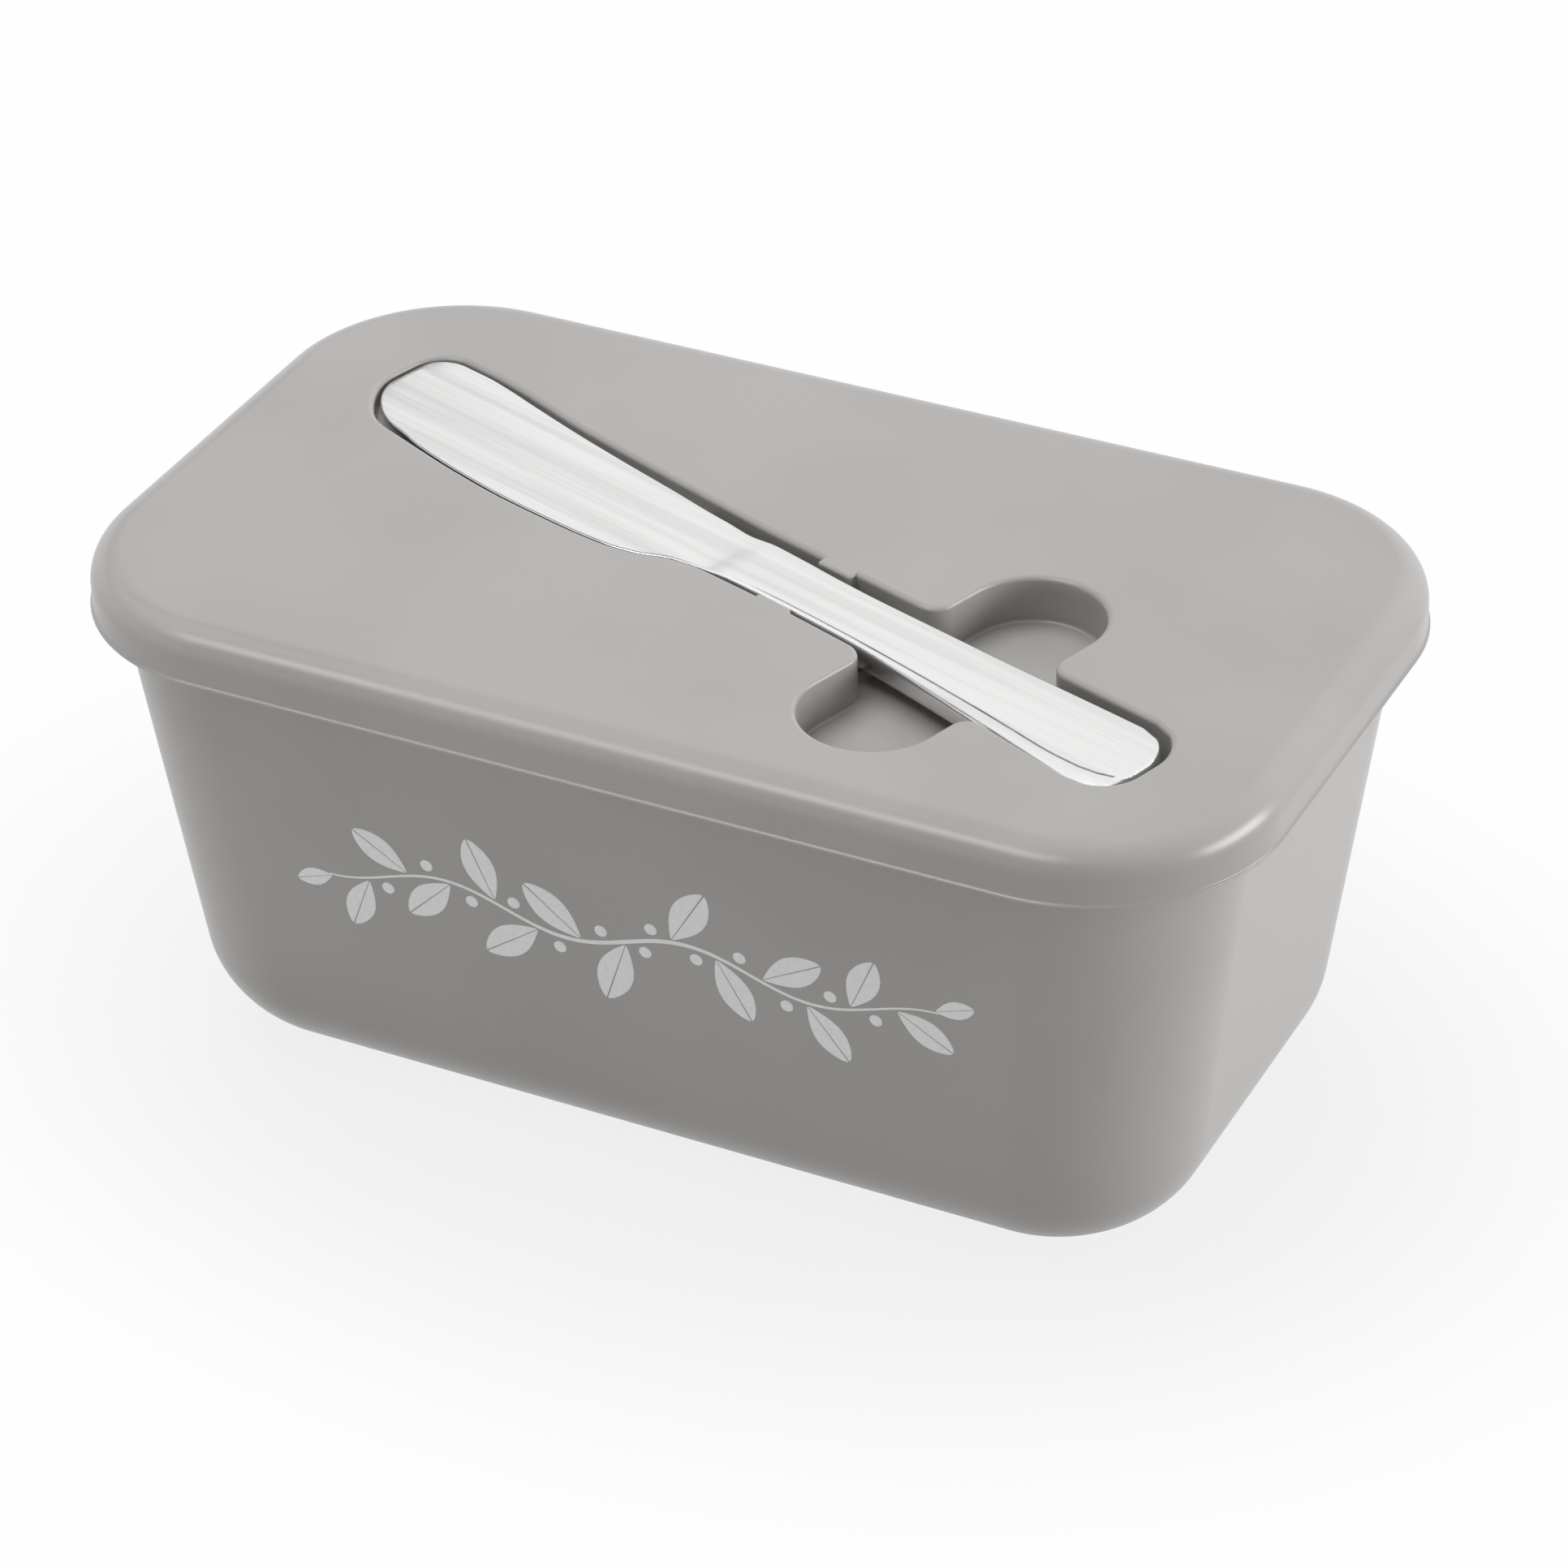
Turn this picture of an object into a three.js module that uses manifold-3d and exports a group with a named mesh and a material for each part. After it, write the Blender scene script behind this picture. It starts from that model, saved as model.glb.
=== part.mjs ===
// Butter storage box: a drafted tub, a lid with a soft seal, and a butter knife
// that lies in a moulded bed across the lid. X runs along the box, -Y is its
// front, Z is up, and the origin is on the table under the middle of the box.
import * as THREE from 'three';
import { mergeVertices } from 'three/addons/utils/BufferGeometryUtils.js';
import Module from 'manifold-3d';

const wasm = await Module();
wasm.setup();

// Driving dimensions, in millimetres.
const lidLength = 167;
const lidWidth = 97;
const totalHeight = 74;
const lidCorner = 26;
const lidEdge = 8;
const lidShoulder = 4.3;
const lidBead = 0.3;
const lidLip = 0.4;
const lidWall = 2.2;
const overhang = 4;

const tubFootLength = 142.4;
const tubFootWidth = 76;
const tubFootCorner = 19.6;
const tubMouthCorner = 22;
const tubFillet = 13.7;
const tubWall = 2.5;
const tubRimRound = 0.6;
const footBand = 4;
const footRecess = 0.8;
const beadHeight = 2.5;

const plugWall = 2.4;
const plugDepth = 10.8;
const plugRound = 0.6;
const plugGap = 1.8;
const grooveDepth = 1;
const grooveHeight = 3;
const grooveDrop = 3.8;
const sealLip = 0.7;

const knifeMargin = 17.07;
const bladeWidth = 18.6;
const bladeThick = 2;
const handleThick = 5;
const knifeShift = 0.675;
const knifeAngle = -18.2;
const bladeSink = 0.4;
const handleSink = 0.2;
const creaseDip = 0.3;
const tipNorthRound = 4;
const tipFlat = 4;
const tipSouthRound = 12.5;
const buttRound = 5;
const knifeEdgeRound = 0.9;

const bedClear = 0.5;
const bedFloorRound = 0.8;
const rimRound = 0.5;
const trayWall = 1.8;
const tabLength = 5.9;
const tabRound = 0.5;
const pocketWidth = 19;
const pocketReach = 48.8;
const pocketAcross = -1.9;
const pocketDepth = 6.8;
const pocketFloorRound = 0.6;
const junctionRound = 3;

// Clearance between pieces that touch, and how far a cutter overruns a face.
const touchGap = 0.3;
const overrun = 1;

// Half outline of the knife: share of its length from the tip, and the offset of
// the spine or of the edge from the knife's axis as a share of the blade's width.
const spineShares = [
  [0, 0.47], [0.066, 0.47], [0.102, 0.454], [0.138, 0.422], [0.209, 0.355], [0.281, 0.304],
  [0.352, 0.261], [0.424, 0.212], [0.46, 0.199], [0.53, 0.199], [0.64, 0.167], [0.746, 0.167],
  [0.939, 0.188], [1, 0.191],
];
const edgeShares = [
  [0, -0.484], [0.08, -0.503], [0.11, -0.555], [0.174, -0.613], [0.245, -0.642], [0.32, -0.631],
  [0.375, -0.6], [0.406, -0.543], [0.442, -0.419], [0.478, -0.363], [0.55, -0.341], [0.64, -0.352],
  [0.71, -0.382], [0.82, -0.459], [1, -0.586],
];
// Spare room between the knife's spine and the bed, as a share of the blade's
// width: the knife rests against the bed's front wall.
const roomShares = [
  [0, 0], [0.066, 0], [0.21, 0.011], [0.352, 0.04], [0.424, 0.062], [0.5, 0.054],
  [0.64, 0.083], [0.78, 0.075], [0.925, 0.051], [1, 0.048],
];
// Where the blade ends, where the handle starts, where the clip tabs hold it and
// where the finger pocket crosses it.
const bladeEndShare = 0.4;
const creaseShare = 0.465;
const handleStartShare = 0.53;
const tabShare = 0.57;
const pocketShare = 0.7608;

// How finely curves are divided.
const cornerSteps = 10;
const filletSteps = 8;
const shoulderSteps = 5;
const smallSteps = 3;
const sectionSteps = 24;
const knifeSteps = 40;
const endSteps = 6;
const pocketSteps = 12;

// Heights and lengths that follow from the driving dimensions. The knife lies
// slantwise and ends the same distance from both ends of the lid.
const knifeLength = (lidLength - 2 * knifeMargin) / Math.cos(THREE.MathUtils.degToRad(knifeAngle));
const pocketAlong = (pocketShare - 0.5) * knifeLength + knifeShift;
const lidTop = totalHeight;
const skirtBottom = totalHeight - lidEdge;
const plateUnder = lidTop - lidWall;
const tubRim = plateUnder - touchGap;
const mouthLength = lidLength - 2 * overhang;
const mouthWidth = lidWidth - 2 * overhang;
const beadReach = overhang - lidWall - touchGap;
const plugInset = overhang + tubWall + plugGap;
const plugBottom = plateUnder - plugDepth;
const grooveTop = plateUnder - grooveDrop;
const grooveBottom = grooveTop - grooveHeight;
const bladeFloor = lidTop - bladeSink - bladeThick - touchGap;
const handleFloor = lidTop - handleSink - handleThick - touchGap;
const pocketFloor = lidTop - pocketDepth;
const pocketRadius = pocketWidth / 2;

// One level of a lofted shell: a rounded rectangle of the given size, drawn
// anticlockwise as seen from above.
function roundedRing(length, width, corner, z) {
  const points = [];
  const signs = [[1, 1], [-1, 1], [-1, -1], [1, -1]];
  signs.forEach(([sx, sy], quarter) => {
    for (let i = 0; i <= cornerSteps; i++) {
      const angle = (quarter + i / cornerSteps) * Math.PI / 2;
      const x = sx * (length / 2 - corner) + corner * Math.cos(angle);
      const y = sy * (width / 2 - corner) + corner * Math.sin(angle);
      points.push(new THREE.Vector3(x, y, z));
    }
  });
  return points;
}

// A level of the lid, pulled in from its outline by an inset.
function lidRing(inset, z) {
  return roundedRing(lidLength - 2 * inset, lidWidth - 2 * inset, lidCorner - inset, z);
}

// A level of the tub: its wall leans out from the foot to the mouth and stands
// upright above the lid's lower edge.
function tubRing(inset, z) {
  const lean = Math.min(z / skirtBottom, 1);
  const length = tubFootLength + (mouthLength - tubFootLength) * lean;
  const width = tubFootWidth + (mouthWidth - tubFootWidth) * lean;
  const corner = tubFootCorner + (tubMouthCorner - tubFootCorner) * lean;
  return roundedRing(length - 2 * inset, width - 2 * inset, corner - inset, z);
}

// Quarter arc as pairs of [how far in, how far down] from its start, both from
// zero to the radius: it leaves level and ends upright.
function quarterArc(radius, steps) {
  const arc = [];
  for (let i = 0; i <= steps; i++) {
    const angle = i / steps * Math.PI / 2;
    arc.push([radius * Math.sin(angle), radius * (1 - Math.cos(angle))]);
  }
  return arc;
}

function signedVolume(positions, index) {
  const a = new THREE.Vector3();
  const b = new THREE.Vector3();
  const c = new THREE.Vector3();
  let sum = 0;
  for (let i = 0; i < index.length; i += 3) {
    a.fromArray(positions, 3 * index[i]);
    b.fromArray(positions, 3 * index[i + 1]);
    c.fromArray(positions, 3 * index[i + 2]);
    sum += a.dot(b.cross(c));
  }
  return sum / 6;
}

// Skin over rings of equally many points. The ends are capped, unless the rings
// go round and close on the first. Faces are turned to point outwards.
function loft(rings, { closed = false, flatOn = ['x', 'y'] } = {}) {
  const count = rings[0].length;
  const positions = [];
  const index = [];
  rings.flat().forEach((point) => positions.push(point.x, point.y, point.z));
  const spans = closed ? rings.length : rings.length - 1;
  for (let i = 0; i < spans; i++) {
    const low = i * count;
    const high = (i + 1) % rings.length * count;
    for (let j = 0; j < count; j++) {
      const next = (j + 1) % count;
      index.push(low + j, low + next, high + next);
      index.push(low + j, high + next, high + j);
    }
  }
  if (!closed) {
    const capOf = (ring) => {
      const flat = ring.map((point) => new THREE.Vector2(point[flatOn[0]], point[flatOn[1]]));
      return THREE.ShapeUtils.triangulateShape(flat, []);
    };
    const last = (rings.length - 1) * count;
    capOf(rings[0]).forEach(([a, b, c]) => index.push(c, b, a));
    capOf(rings[rings.length - 1]).forEach(([a, b, c]) => index.push(last + a, last + b, last + c));
  }
  if (signedVolume(positions, index) < 0) index.reverse();
  const geometry = new THREE.BufferGeometry();
  geometry.setAttribute('position', new THREE.Float32BufferAttribute(positions, 3));
  geometry.setIndex(index);
  return geometry;
}

// A geometry as a solid that can be joined and cut, and back.
function solid(geometry) {
  const bare = geometry.clone();
  bare.deleteAttribute('normal');
  bare.deleteAttribute('uv');
  const merged = mergeVertices(bare);
  return new wasm.Manifold(new wasm.Mesh({
    numProp: 3,
    vertProperties: new Float32Array(merged.attributes.position.array),
    triVerts: new Uint32Array(merged.index.array),
  }));
}

function surface(body) {
  const mesh = body.getMesh();
  const geometry = new THREE.BufferGeometry();
  geometry.setAttribute('position', new THREE.Float32BufferAttribute(mesh.vertProperties, 3));
  geometry.setIndex(Array.from(mesh.triVerts));
  return geometry;
}

// Smooth value of a table of [place, value] at a place between its ends.
function smoothTable(table, place) {
  const slope = (i) => {
    if (i === 0 || i === table.length - 1) return 0;
    const before = (table[i][1] - table[i - 1][1]) / (table[i][0] - table[i - 1][0]);
    const after = (table[i + 1][1] - table[i][1]) / (table[i + 1][0] - table[i][0]);
    return before * after <= 0 ? 0 : 2 * before * after / (before + after);
  };
  let i = 0;
  while (i < table.length - 2 && place > table[i + 1][0]) i++;
  const span = table[i + 1][0] - table[i][0];
  const t = (place - table[i][0]) / span;
  const rise = t * t * (3 - 2 * t);
  return table[i][1] * (1 - rise) + table[i + 1][1] * rise
    + span * slope(i) * t * (1 - t) * (1 - t) - span * slope(i + 1) * t * t * (1 - t);
}

// How much of its full offset a round end keeps, at a distance from the end.
function roundEnd(distance, radius) {
  const t = Math.min(distance / radius, 1);
  return Math.sqrt(1 - (1 - t) * (1 - t));
}

// Spine and edge of the knife at a share of its length: straight lengths from
// the tables, drawn in by the round corners at the tip and the butt.
function knifeSides(share) {
  const spine = smoothTable(spineShares, share) * bladeWidth;
  const edge = smoothTable(edgeShares, share) * bladeWidth;
  const fromTip = share * knifeLength;
  const fromButt = (1 - share) * knifeLength;
  const north = spine - tipNorthRound * (1 - roundEnd(fromTip, tipNorthRound))
    - buttRound * (1 - roundEnd(fromButt, buttRound));
  const nose = spine - tipNorthRound - tipFlat;
  const south = edge + (nose - edge) * (1 - roundEnd(fromTip, tipSouthRound))
    + buttRound * (1 - roundEnd(fromButt, buttRound));
  return { north, south };
}

// Top and underside of the knife: a thin blade that dips at the crease and
// swells into the handle, thinning over its rounded ends.
function knifeHeights(share) {
  const grow = THREE.MathUtils.smoothstep(share, bladeEndShare, handleStartShare);
  const crease = 1 - Math.min(Math.abs(share - creaseShare) / (handleStartShare - creaseShare), 1);
  const dip = creaseDip * THREE.MathUtils.smoothstep(crease, 0, 1);
  const top = lidTop - THREE.MathUtils.lerp(bladeSink, handleSink, grow) - dip;
  const blade = lidTop - bladeSink - bladeThick;
  const handle = lidTop - handleSink - handleThick;
  const under = THREE.MathUtils.lerp(blade, handle, grow);
  const keep = roundEnd(Math.min(share, 1 - share) * knifeLength + knifeEdgeRound / 4, knifeEdgeRound);
  const middle = (top + under) / 2;
  return { top: middle + (top - middle) * keep, under: middle + (under - middle) * keep, grow };
}

// Shares of the knife's length at which it is cut into sections, closer together
// where the ends are round.
function knifeStations() {
  const stations = [];
  const tip = tipSouthRound / knifeLength;
  const butt = buttRound / knifeLength;
  for (let i = 0; i < endSteps * 2; i++) {
    stations.push(tip * (1 - Math.cos(i / (endSteps * 2) * Math.PI / 2)));
  }
  for (let i = 0; i <= knifeSteps; i++) {
    stations.push(THREE.MathUtils.lerp(tip, 1 - butt, i / knifeSteps));
  }
  for (let i = endSteps - 1; i >= 0; i--) {
    stations.push(1 - butt * (1 - Math.cos(i / endSteps * Math.PI / 2)));
  }
  return stations;
}

function alongKnife(share) {
  return (share - 0.5) * knifeLength + knifeShift;
}

// Plan outline of the room that the knife lies in, from one share of its length
// to the butt, before the clearance is added all round.
function bedOutline(fromShare = 0) {
  const stations = knifeStations().filter((share) => share >= fromShare);
  const front = stations.map((share) => new THREE.Vector2(alongKnife(share), knifeSides(share).south));
  const back = stations.map((share) => new THREE.Vector2(alongKnife(share), bedBack(share)));
  return [...front, ...back.reverse()];
}

function bedBack(share) {
  return knifeSides(share).north + smoothTable(roomShares, share) * bladeWidth;
}

// Stadium outline of the finger pocket, which runs across the knife.
function pocketOutline() {
  const points = [];
  const straight = pocketReach / 2 - pocketRadius;
  [1, -1].forEach((end) => {
    for (let i = 0; i <= pocketSteps; i++) {
      const angle = (i / pocketSteps + (end > 0 ? 0 : 1)) * Math.PI;
      const x = pocketAlong + pocketRadius * Math.cos(angle);
      points.push(new THREE.Vector2(x, pocketAcross + end * straight + pocketRadius * Math.sin(angle)));
    }
  });
  return points;
}

// An anticlockwise outline moved outwards by a distance along its normals.
function offsetOutline(outline, distance) {
  const count = outline.length;
  return outline.map((point, i) => {
    const before = point.clone().sub(outline[(i + count - 1) % count]).normalize();
    const after = outline[(i + 1) % count].clone().sub(point).normalize();
    const normal = new THREE.Vector2(before.y + after.y, -before.x - after.x).normalize();
    const spread = Math.max(normal.x * after.y - normal.y * after.x, 0.5);
    return point.clone().addScaledVector(normal, distance / spread);
  });
}

// Solid of a plan outline stacked through levels of [offset, z].
function stack(outline, levels) {
  return solid(loft(levels.map(([offset, z]) => (
    offsetOutline(outline, offset).map((point) => new THREE.Vector3(point.x, point.y, z))
  ))));
}

// Hollow with a rounded floor edge and a rounded rim at the lid's top face.
function hollowLevels(clear, floor, floorRound) {
  const levels = quarterArc(floorRound, smallSteps).map(([across, up]) => (
    [clear - floorRound + across, floor + up]
  ));
  quarterArc(rimRound, smallSteps).reverse().forEach(([up, across]) => {
    levels.push([clear + rimRound - up, lidTop - across]);
  });
  return [...levels, [clear + rimRound, lidTop + overrun]];
}

// Tray that hangs under the plate round a hollow.
function trayLevels(clear, floor) {
  return [
    [clear, floor - trayWall],
    [clear + trayWall, floor],
    [clear + trayWall, plateUnder + lidWall / 2],
  ];
}

// The soft corner where the pocket runs into the bed: what is cut away between
// the two straight walls and the round that joins them.
function junctionCutter(sideAlong, sideAcross) {
  const corner = new THREE.Vector2(pocketAlong + sideAlong * pocketRadius, 0);
  const share = (corner.x + sideAlong * junctionRound / 2 - knifeShift) / knifeLength + 0.5;
  corner.y = sideAcross > 0 ? bedBack(share) + bedClear : knifeSides(share).south - bedClear;
  const points = [new THREE.Vector2(corner.x - sideAlong * overrun, corner.y - sideAcross * overrun)];
  points.push(new THREE.Vector2(corner.x + sideAlong * junctionRound, points[0].y));
  for (let i = 0; i <= pocketSteps / 2; i++) {
    const angle = i / (pocketSteps / 2) * Math.PI / 2;
    const x = corner.x + sideAlong * junctionRound * (1 - Math.sin(angle));
    points.push(new THREE.Vector2(x, corner.y + sideAcross * junctionRound * (1 - Math.cos(angle))));
  }
  points.push(new THREE.Vector2(points[0].x, corner.y + sideAcross * junctionRound));
  if (THREE.ShapeUtils.isClockWise(points)) points.reverse();
  return stack(points, [
    [0, handleFloor], [0, lidTop - rimRound], [rimRound / 2, lidTop], [rimRound, lidTop + overrun],
  ]);
}

// Rib on the wall of the bed that closes on the handle, with rounded corners.
function clipTab(side) {
  const middle = alongKnife(tabShare);
  const sides = knifeSides(tabShare);
  const face = (side > 0 ? sides.north : -sides.south) + touchGap;
  const back = Math.max(bedBack(tabShare), -sides.south) + bedClear + rimRound + overrun;
  const points = [
    new THREE.Vector2(middle - tabLength / 2, face + tabRound),
    new THREE.Vector2(middle - tabLength / 2 + tabRound, face),
    new THREE.Vector2(middle + tabLength / 2 - tabRound, face),
    new THREE.Vector2(middle + tabLength / 2, face + tabRound),
    new THREE.Vector2(middle + tabLength / 2, back),
    new THREE.Vector2(middle - tabLength / 2, back),
  ].map((point) => new THREE.Vector2(point.x, side * point.y));
  if (side < 0) points.reverse();
  return stack(points, [
    [0, handleFloor - overrun], [0, lidTop - tabRound], [-tabRound / 2, lidTop + overrun],
  ]);
}

// Turns a solid from the knife's own axes into the lid's.
function acrossLid(body) {
  return body.rotate([0, 0, knifeAngle]);
}

// Tub: one shell from the recessed underside, round the foot, up the wall and
// over the beaded rim, then down inside to the floor.
function tubGeometry() {
  const floorTop = footRecess + tubWall;
  const insideRound = tubFillet - tubWall;
  const rings = [
    tubRing(tubFillet + footBand + footRecess, footRecess),
    tubRing(tubFillet + footBand, 0),
  ];
  quarterArc(tubFillet, filletSteps).forEach(([across, up]) => {
    rings.push(tubRing(tubFillet - across, up));
  });
  const beadBottom = tubRim - beadHeight;
  rings.push(tubRing(0, skirtBottom));
  rings.push(tubRing(0, beadBottom - beadReach));
  rings.push(tubRing(-beadReach, beadBottom));
  quarterArc(tubRimRound, smallSteps).reverse().forEach(([across, down]) => {
    rings.push(tubRing(tubRimRound - beadReach - across, tubRim - down));
  });
  quarterArc(tubRimRound, smallSteps).forEach(([across, down]) => {
    rings.push(tubRing(tubWall - tubRimRound + across, tubRim - down));
  });
  rings.push(tubRing(tubWall, skirtBottom));
  quarterArc(insideRound, filletSteps).reverse().forEach(([across, up]) => {
    rings.push(tubRing(tubWall + insideRound - across, floorTop + up));
  });
  return loft(rings);
}

// Lid: top face, round shoulder, skirt and lip, then the underside with the plug
// wall and its seal groove, before the tray is added and the knife's bed cut.
function lidShell() {
  const rings = [];
  quarterArc(lidShoulder, shoulderSteps).forEach(([across, down]) => {
    rings.push(lidRing(lidBead + lidShoulder - across, lidTop - down));
  });
  rings.push(lidRing(lidBead, skirtBottom + lidLip + lidBead));
  quarterArc(lidLip, smallSteps).reverse().forEach(([across, up]) => {
    rings.push(lidRing(lidLip - across, skirtBottom + up));
  });
  rings.push(lidRing(lidWall - lidLip, skirtBottom));
  rings.push(lidRing(lidWall, skirtBottom + lidLip));
  rings.push(lidRing(lidWall, plateUnder - lidLip));
  rings.push(lidRing(lidWall + lidLip, plateUnder));
  rings.push(lidRing(plugInset, plateUnder));
  rings.push(lidRing(plugInset, grooveTop));
  rings.push(lidRing(plugInset + grooveDepth, grooveTop));
  rings.push(lidRing(plugInset + grooveDepth, grooveBottom));
  rings.push(lidRing(plugInset, grooveBottom));
  rings.push(lidRing(plugInset, plugBottom + plugRound));
  rings.push(lidRing(plugInset + plugRound, plugBottom));
  rings.push(lidRing(plugInset + plugWall - plugRound, plugBottom));
  rings.push(lidRing(plugInset + plugWall, plugBottom + plugRound));
  rings.push(lidRing(plugInset + plugWall, plateUnder - plugRound));
  rings.push(lidRing(plugInset + plugWall + plugRound, plateUnder));
  return solid(loft(rings));
}

function lidGeometry() {
  const whole = bedOutline();
  const handle = bedOutline(bladeEndShare);
  const pocket = pocketOutline();
  let tray = stack(whole, trayLevels(bedClear, bladeFloor));
  tray = tray.add(stack(handle, trayLevels(bedClear, handleFloor)));
  tray = tray.add(stack(pocket, trayLevels(0, pocketFloor)));
  let hollow = stack(whole, hollowLevels(bedClear, bladeFloor, bedFloorRound));
  hollow = hollow.add(stack(handle, hollowLevels(bedClear, handleFloor, bedFloorRound)));
  [1, -1].forEach((side) => {
    hollow = hollow.subtract(clipTab(side));
  });
  hollow = hollow.add(stack(pocket, hollowLevels(0, pocketFloor, pocketFloorRound)));
  [1, -1].forEach((along) => [1, -1].forEach((across) => {
    hollow = hollow.add(junctionCutter(along, across));
  }));
  return surface(lidShell().add(acrossLid(tray)).subtract(acrossLid(hollow)));
}

// Seal: a soft ring whose foot sits in the plug's groove and whose lip leans out
// and up to the tub's wall.
function sealGeometry() {
  const foot = plugInset + grooveDepth - touchGap;
  const reach = overhang + tubWall + touchGap;
  const top = grooveTop - touchGap;
  const bottom = grooveBottom + touchGap;
  return loft([
    lidRing(foot, bottom),
    lidRing(plugInset, bottom),
    lidRing(reach, top - sealLip),
    lidRing(reach, top),
    lidRing(plugInset - touchGap, bottom + 2 * sealLip),
    lidRing(plugInset, top),
    lidRing(foot, top),
  ], { closed: true });
}

// Knife: flat round-edged sections for the blade that fill out to a crowned bar
// for the handle.
function knifeGeometry() {
  const bladeSquareness = 6;
  const handleSquareness = 4;
  const rings = knifeStations().map((share) => {
    const { north, south } = knifeSides(share);
    const { top, under, grow } = knifeHeights(share);
    const power = 2 / THREE.MathUtils.lerp(bladeSquareness, handleSquareness, grow);
    const ring = [];
    for (let i = 0; i < sectionSteps; i++) {
      const angle = (i + 0.5) / sectionSteps * 2 * Math.PI;
      const across = Math.sign(Math.cos(angle)) * Math.abs(Math.cos(angle)) ** power;
      const up = Math.sign(Math.sin(angle)) * Math.abs(Math.sin(angle)) ** power;
      const y = (north + south) / 2 + (north - south) / 2 * across;
      ring.push(new THREE.Vector3(alongKnife(share), y, (top + under) / 2 + (top - under) / 2 * up));
    }
    return ring;
  });
  return loft(rings, { flatOn: ['y', 'z'] });
}

function piece(name, geometry, colour, roughness, metalness) {
  const material = new THREE.MeshStandardMaterial({ color: colour, roughness, metalness });
  const mesh = new THREE.Mesh(geometry, material);
  mesh.name = name;
  return mesh;
}

const butterBox = new THREE.Group();
butterBox.add(piece('butter_box', tubGeometry(), 0x9a9693, 0.45, 0));
butterBox.add(piece('lid', lidGeometry(), 0xb3aeab, 0.42, 0));
butterBox.add(piece('seal_ring', sealGeometry(), 0xdedcd8, 0.6, 0));
const knife = piece('butter_knife', knifeGeometry(), 0xd9d9d7, 0.2, 1);
knife.rotation.z = THREE.MathUtils.degToRad(knifeAngle);
butterBox.add(knife);

export default butterBox;
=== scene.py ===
# %% [markdown]
# A butter box with a knife lying in its lid. The imported model gives every piece
# its real size and place, so this script only has to dress it. It starts by
# loading that model.

# %% Load the imported model
import math

import bmesh
import bpy
from mathutils import Matrix, Vector


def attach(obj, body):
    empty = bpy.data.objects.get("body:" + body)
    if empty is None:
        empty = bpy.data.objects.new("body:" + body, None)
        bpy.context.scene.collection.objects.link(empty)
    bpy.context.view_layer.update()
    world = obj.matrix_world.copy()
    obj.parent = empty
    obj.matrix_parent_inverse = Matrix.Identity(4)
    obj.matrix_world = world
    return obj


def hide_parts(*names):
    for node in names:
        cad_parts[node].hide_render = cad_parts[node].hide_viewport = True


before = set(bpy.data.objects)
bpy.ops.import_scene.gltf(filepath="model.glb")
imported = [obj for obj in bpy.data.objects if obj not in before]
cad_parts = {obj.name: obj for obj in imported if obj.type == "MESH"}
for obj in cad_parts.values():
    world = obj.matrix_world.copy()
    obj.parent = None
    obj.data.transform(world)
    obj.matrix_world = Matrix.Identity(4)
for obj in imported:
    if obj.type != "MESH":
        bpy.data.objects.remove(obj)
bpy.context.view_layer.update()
MM = 0.001

# %% [markdown]
# The camera stands where the photographer stood. The picture was measured: the
# box is seen from 27 degrees to the right of its front and 33 degrees above it,
# from about three quarters of a metre away with a long lens, and the camera is
# rolled a little over one degree. The three axes of the camera are worked out
# from those angles and written into its matrix.

# %% Camera
PHOTO_SIZE = 1932
FOCAL_PIXELS = 7067
SENSOR_WIDTH = 36
VIEW_AZIMUTH = math.radians(26.9)
VIEW_ELEVATION = math.radians(33.37)
VIEW_ROLL = math.radians(-1.21)
VIEW_DISTANCE = 767 * MM
VIEW_TARGET = Vector((2.3, 2.5, 37)) * MM


def place_camera():
    back = Vector((
        math.sin(VIEW_AZIMUTH) * math.cos(VIEW_ELEVATION),
        -math.cos(VIEW_AZIMUTH) * math.cos(VIEW_ELEVATION),
        math.sin(VIEW_ELEVATION),
    ))
    sideways = Vector((math.cos(VIEW_AZIMUTH), math.sin(VIEW_AZIMUTH), 0))
    up = back.cross(sideways)
    right = sideways * math.cos(VIEW_ROLL) + up * math.sin(VIEW_ROLL)
    top = back.cross(right)
    data = bpy.data.cameras.new("photo_camera")
    data.sensor_width = SENSOR_WIDTH
    data.lens = SENSOR_WIDTH * FOCAL_PIXELS / PHOTO_SIZE
    data.clip_start = VIEW_DISTANCE / 100
    camera = bpy.data.objects.new("photo_camera", data)
    bpy.context.collection.objects.link(camera)
    matrix = Matrix((right, top, back)).transposed().to_4x4()
    matrix.translation = VIEW_TARGET + back * VIEW_DISTANCE
    camera.matrix_world = matrix
    bpy.context.scene.camera = camera
    return camera


camera = place_camera()
print("lens", round(camera.data.lens, 1), "mm")

# %% [markdown]
# In pictures of goods the background is often lit by itself. The Light Path node
# makes that possible: it tells how a ray came to a surface. To a ray that came
# straight from the camera, or by way of a mirror or clear glass, and has met
# nothing dull on its way, the surface may show a plain white that lights nothing
# else. The table and the room both need this test, so it comes first, with a few
# helpers that every node tree uses.

# %% What is seen directly
WHITE = (1, 1, 1, 1)
FIRST_DULL_BOUNCE = 0.5


def nodes_of(owner):
    owner.use_nodes = True
    owner.node_tree.nodes.clear()
    return owner.node_tree.nodes, owner.node_tree.links


def calculate(nodes, links, operation, *values):
    step = nodes.new("ShaderNodeMath")
    step.operation = operation
    for value, socket in zip(values, step.inputs):
        if isinstance(value, bpy.types.NodeSocket):
            links.new(value, socket)
        else:
            socket.default_value = value
    return step.outputs[0]


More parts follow.
